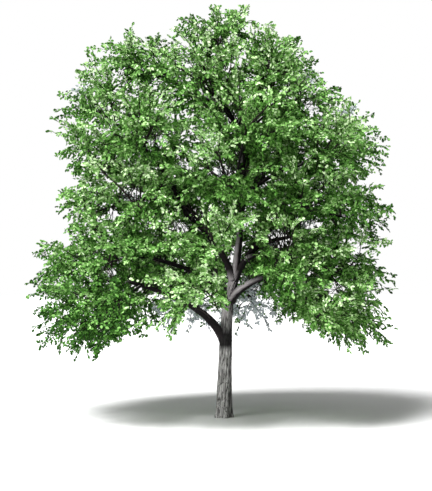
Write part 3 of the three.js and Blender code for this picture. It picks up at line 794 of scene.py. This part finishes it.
def growShoots(feet, bends, tips, middle, rng):  # alternate, in the flat of the spray
    count, shoots = len(tips), spray["shoots"]
    step = np.arange(shoots)
    share = spray["shootFrom"] + (1 - spray["shootFrom"]) * step / (shoots - 1)
    side = np.where(step % 2 == 0, 1.0, -1.0)
    curves = [curveThrough(curve) for curve in zip(feet, bends, tips)]
    starts = np.stack([curve(share) for curve in curves])
    along = unit(np.stack([curve(share + spray["ahead"]) for curve in curves]) - starts)
    outward = unit(unit(tips - middle) + spray["level"] * unit(middle * level))
    face = up * spray["upward"] + outward * spray["outward"]
    face = face + spray["faceFreedom"] * rng.normal(size=(count, 3))
    face = face[:, None] + 0 * along
    face = unit(face - along * dot(face, along))
    angle = spray["shootAngle"] * side * (1 - spray["narrowing"] * share)
    angle = angle + spray["shootFreedom"] * (rng.random((count, shoots)) - 0.5)
    angle[:, -1] *= spray["lastAngle"]  # the last shoot carries the twig on
    lift = face * (spray["lift"] * (rng.random((count, shoots, 1)) - 0.5))
    sideways = np.cross(along, face) * np.sin(angle)[..., None]
    ways = unit(along * np.cos(angle)[..., None] + sideways + lift - up * spray["droop"])
    short, long = spray["shootLength"]
    freely = 1 + spray["lengthFreedom"] * (rng.random((count, shoots)) - 0.5)
    lengths = (long + (short - long) * share) * freely
    for _ in range(spray["shortenings"]):  # a shoot that leaves the crown is shortened
        over = ~withinCrown(starts + ways * lengths[..., None], spray["leafMargin"])
        lengths = np.where(over, lengths * spray["shortened"], lengths)
    return share, starts, ways, ways * lengths[..., None], face


def growLeaves(starts, ways, runs, face, rng):  # alternate along each shoot
    leaves = spray["leaves"]
    spot = spray["leafFrom"] + (1 - spray["leafFrom"]) * (np.arange(leaves) + 0.5) / leaves
    side = np.where(np.arange(leaves) % 2 == 0, 1.0, -1.0)
    roots = starts[:, :, None] + runs[:, :, None] * spot[:, None]
    shape = roots.shape[:3]
    sideWay = np.cross(face, ways)[:, :, None]
    turned = spray["leafAngle"] * side * (1 - spray["endTurn"] * spot ** spray["endTurnPower"])
    turned = turned + spray["leafFreedom"] * (rng.random(shape) - 0.5) * 2
    leafWays = ways[:, :, None] * np.cos(turned)[..., None] + sideWay * np.sin(turned)[..., None]
    leafWays = leafWays + (rng.random(shape + (3,)) - 0.5) * 2 * spray["wayFreedom"]
    leafWays = unit(leafWays - up * spray["leafDroop"])
    leafFaces = face[:, :, None] + (rng.random(shape + (3,)) - 0.5) * 2 * spray["tilt"]
    leafFaces = unit(leafFaces - leafWays * dot(leafFaces, leafWays))
    sizes = 1 + leaf["lengthFreedom"] * (rng.random(shape) - 0.5) * 2
    return roots, leafWays, leafFaces, sizes


def pickTones(roots, tips, share, place, rng):
    fromMiddle = (tips - place["middle"]) / place["size"]
    outness = dot(fromMiddle, unit(place["middle"] * [1, 1, tones["fromAbove"]]))[:, 0]
    lit = tones["middle"] + place["paler"] + tones["height"] * fromMiddle[:, 2] + tones["outness"] * outness
    lit = lit + tones["byTwig"] * (rng.random(len(tips)) - 0.5)
    tone = lit[:, None, None] + tones["alongTwig"] * (share[None, :, None] - tones["twigMiddle"])
    tone = tone + tones["byLeaf"] * (rng.random(roots.shape[:3]) - 0.5)
    tone = tone + tones["byShoot"] * (rng.random(roots.shape[:2] + (1,)) - 0.5)
    # painted shade on the leaves near the crown's left and right edges
    across = roots[..., 0]
    rim = np.abs(across) / crownReach(np.where(across > 0, 0, math.pi), roots[..., 2], "edge")
    tone = tone - tones["rimShade"] * np.clip((rim - tones["rimFrom"]) / (1 - tones["rimFrom"]), 0, 1)
    return np.clip(np.round(tone), 0, highlightTone).astype(int)


def openGaps(roots, tone, keep, hazy, rng):  # leaves out what would fill a gap, and pales what lies behind it
    spots = roots.reshape(-1, 3)
    for *ellipse, back in windows:
        inGap = fromEllipse(spots, *ellipse) <= 1
        keep &= ~inGap | (spots[:, 1] > back)
        beyond = inGap & (spots[:, 1] < back + haze["depth"]) & (rng.random(len(spots)) < haze["share"])
        tone = np.where(beyond.reshape(tone.shape), hazyTone, tone)
        keep &= ~inGap | hazy | (rng.random(len(spots)) > haze["open"])
    for ellipse in haze["tufts"]:
        inTuft = (fromEllipse(roots, *ellipse) < 1) & (roots[..., 1] > haze["tuftFrom"])
        inTuft &= roots[..., 1] < haze["tuftTo"]
        tone = np.where(inTuft & (rng.random(tone.shape) < haze["share"]), hazyTone, tone)
    if hazy:
        far = (seenHeight(roots) < haze["below"]) & (roots[..., 1] < haze["before"])
        far &= (roots[..., 0] > haze["left"]) & (roots[..., 0] < haze["right"])
        tone = np.where(far & (rng.random(tone.shape) < haze["share"]), hazyTone, tone)
        keep &= ~(far & (rng.random(tone.shape[:2])[..., None] < haze["thinner"])).ravel()
    return tone, keep


def dressTwigs(feet, bends, tips, place, segments, rng):
    share, starts, ways, runs, face = growShoots(feet, bends, tips, place["middle"], rng)
    roots, leafWays, leafFaces, sizes = growLeaves(starts, ways, runs, face, rng)
    tone = pickTones(roots, tips, share, place, rng)
    spots = roots.reshape(-1, 3)
    keep = withinCrown(spots, 0) & clearOfLimbs(spots, segments, spray["clear"])
    keep &= ~np.repeat(inOpening(tips), spray["shoots"] * spray["leaves"])
    keep &= ~inFrontOfLimbs(spots + (leafWays * leaf["length"] / 2).reshape(-1, 3), rng)
    tone, keep = openGaps(roots, tone, keep, place["hazy"], rng)
    keep = keep.reshape(tone.shape)
    full = keep.sum(axis=2) >= spray["fewest"]  # a shoot or twig with hardly a leaf left is left out
    keep &= full[..., None] & (full.sum(axis=1) >= spray["fewest"])[:, None, None]
    leafRows = [rows[keep] for rows in (roots, leafWays, leafFaces, sizes, tone)]
    leafy = keep.any(axis=2)
    shootRows = (starts[leafy], (starts + runs)[leafy], face[leafy])
    twigs = [curve for curve, carries in zip(zip(feet, bends, tips), leafy.any(axis=1)) if carries]
    return leafRows, twigs, shootRows


def arrayMesh(name, places, *blocks, tones=None):  # each block holds faces of one number of corners
    mesh = bpy.data.meshes.new(name)
    corners = np.concatenate([np.full(len(block), block.shape[1]) for block in blocks])
    mesh.vertices.add(len(places))
    mesh.vertices.foreach_set("co", places.ravel())
    mesh.loops.add(int(corners.sum()))
    around = np.concatenate([block.ravel() for block in blocks])
    mesh.loops.foreach_set("vertex_index", around.astype(np.int32))
    mesh.polygons.add(len(corners))
    mesh.polygons.foreach_set("loop_start", (np.cumsum(corners) - corners).astype(np.int32))
    if tones is not None:
        mesh.polygons.foreach_set("material_index", tones.astype(np.int32))
    mesh.update(calc_edges=True)
    mesh.validate()
    piece = bpy.data.objects.new(name, mesh)
    bpy.context.collection.objects.link(piece)
    return piece


def leafMesh(name, rows):  # six corners in a leaf's outline, folded a little along the midrib
    roots, ways, faces, sizes, leafTone = (np.concatenate(column) for column in zip(*rows))
    long = ways * (leaf["length"] * sizes)[:, None]
    wide = np.cross(faces, ways) * (leaf["width"] / 2 * sizes)[:, None]
    rise = faces * (leaf["fold"] * leaf["width"] * sizes)[:, None]
    lower = roots + long * leaf["shoulder"] + rise
    upper = roots + long * leaf["upperShoulder"] + rise
    narrow = wide * leaf["upperWidth"]
    outline = [roots, lower - wide, upper - narrow, roots + long, upper + narrow, lower + wide]
    corners = np.stack(outline, axis=1)
    start = np.arange(len(roots))[:, None] * len(outline)
    quads = np.stack([start + [0, 3, 2, 1], start + [0, 5, 4, 3]], axis=1).reshape(-1, 4)
    return arrayMesh(name, corners.reshape(-1, 3), quads, tones=np.repeat(leafTone, 2))


def wingedTwig(curve, foot, tip, stations, rng):  # flat in section, with corky wings that swell and narrow
    centres = curveThrough(curve)(np.linspace(0, 1, stations))
    side, other = ringFrames(centres)
    radius = foot + (tip - foot) * np.linspace(0, 1, stations)
    wide = side * (radius * (1 + twig["wing"] * rng.random(stations)))[:, None]
    thin = other * (radius * twig["flatness"])[:, None]
    rings = np.stack([centres + wide, centres + thin, centres - wide, centres - thin], axis=1)
    sides = rings.shape[1]
    corner = np.arange(sides)
    following = (corner + 1) % sides
    wall = np.stack([corner, following, following + sides, corner + sides], axis=-1)
    walls = [wall + station * sides for station in range(stations - 1)]
    ends = [corner[None, ::-1], corner[None] + (stations - 1) * sides]
    return rings.reshape(-1, 3), np.concatenate(walls + ends)


def shootSpikes(shootRows):  # a three-sided spike for each shoot
    starts, ends, faceWays = (np.concatenate(column) for column in zip(*shootRows))
    side = unit(np.cross(unit(ends - starts), faceWays))
    other = np.cross(unit(ends - starts), side)
    foot = twig["shootFoot"]
    back = starts - side * foot * 0.5
    corners = np.stack([starts + side * foot, back + other * foot, back - other * foot, ends], axis=1)
    begin = np.arange(len(starts))[:, None, None] * corners.shape[1]
    faces = begin + np.array([[0, 1, 3], [1, 2, 3], [2, 0, 3], [2, 1, 0]])
    return corners.reshape(-1, 3), faces.reshape(-1, 3)


def twigMesh(name, twigRows, shootRows, rng):
    places, faces, filled = [], [], 0
    for twigs, branchlets in twigRows:
        grown = [(curve, twig["branchlet"], twig["foot"], twig["branchletStations"]) for curve in branchlets]
        grown += [(curve, twig["foot"], twig["tip"], twig["stations"]) for curve in twigs]
        for curve, foot, tip, stations in grown:
            ring, walls = wingedTwig(curve, foot, tip, stations, rng)
            places.append(ring)
            faces.append(walls + filled)
            filled += len(ring)
    corners, spikes = shootSpikes(shootRows)
    return arrayMesh(name, np.concatenate(places + [corners]), np.concatenate(faces), spikes + filled)


def makeFoliage():
    materials = [plainFinish(label, colour, plain["leafRough"]) for label, colour in leafTones]
    twigMaterial = plainFinish("twig bark", plain["twigTone"], plain["twigRough"])
    segments = limbSegments()
    total = 0
    for name, plan in boughs.items():
        rng = np.random.default_rng(len(name))
        grown = [growMass(space, segments) for space in plan["spaces"]]
        grown.append(growBough(name, segments, rng))
        leafRows, twigRows, shootRows, branchlets = zip(*filter(None, grown))
        leaves = leafMesh("leaves_" + name, leafRows)
        for material in materials:
            leaves.data.materials.append(material)
        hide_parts(*[space["node"] for space in plan["spaces"]])
        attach(leaves, "root")
        twigs = twigMesh("twigs_" + name, zip(twigRows, branchlets), shootRows, rng)
        twigs.data.materials.append(twigMaterial)
        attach(twigs, "root")
        total += len(leaves.data.polygons) // 2
    print("foliage:", total, "leaves")


def countTriangles():
    shown = [piece.data for piece in bpy.data.objects if piece.type == "MESH" and not piece.hide_render]
    for mesh in shown:
        mesh.calc_loop_triangles()
    counts = [len(mesh.loop_triangles) for mesh in shown]
    print("triangles:", sum(counts), "largest piece:", max(counts))


def layFloor():
    sides, radius, place = studio["floorSides"], studio["floorRadius"], (0, 0, -studio["floorDrop"])
    bpy.ops.mesh.primitive_circle_add(vertices=sides, radius=radius, fill_type="NGON", location=place)
    floor = bpy.context.object
    floor.name = "pale_floor"
    bpy.ops.object.transform_apply()
    tone = studio["floorTone"]
    floor.data.materials.append(plainFinish("pale floor", (tone, tone, tone, 1), plain["floorRough"]))
    floor.select_set(False)


placeCamera()
lightStudio()
layFloor()
trunkMaterial = barkFinish("trunk bark", trunkBark)
boughMaterial = barkFinish("bough bark", boughBark)
makeLimbs(trunkMaterial, boughMaterial, barkFinish("pale bough bark", paleBark))
makeFoliage()
countTriangles()
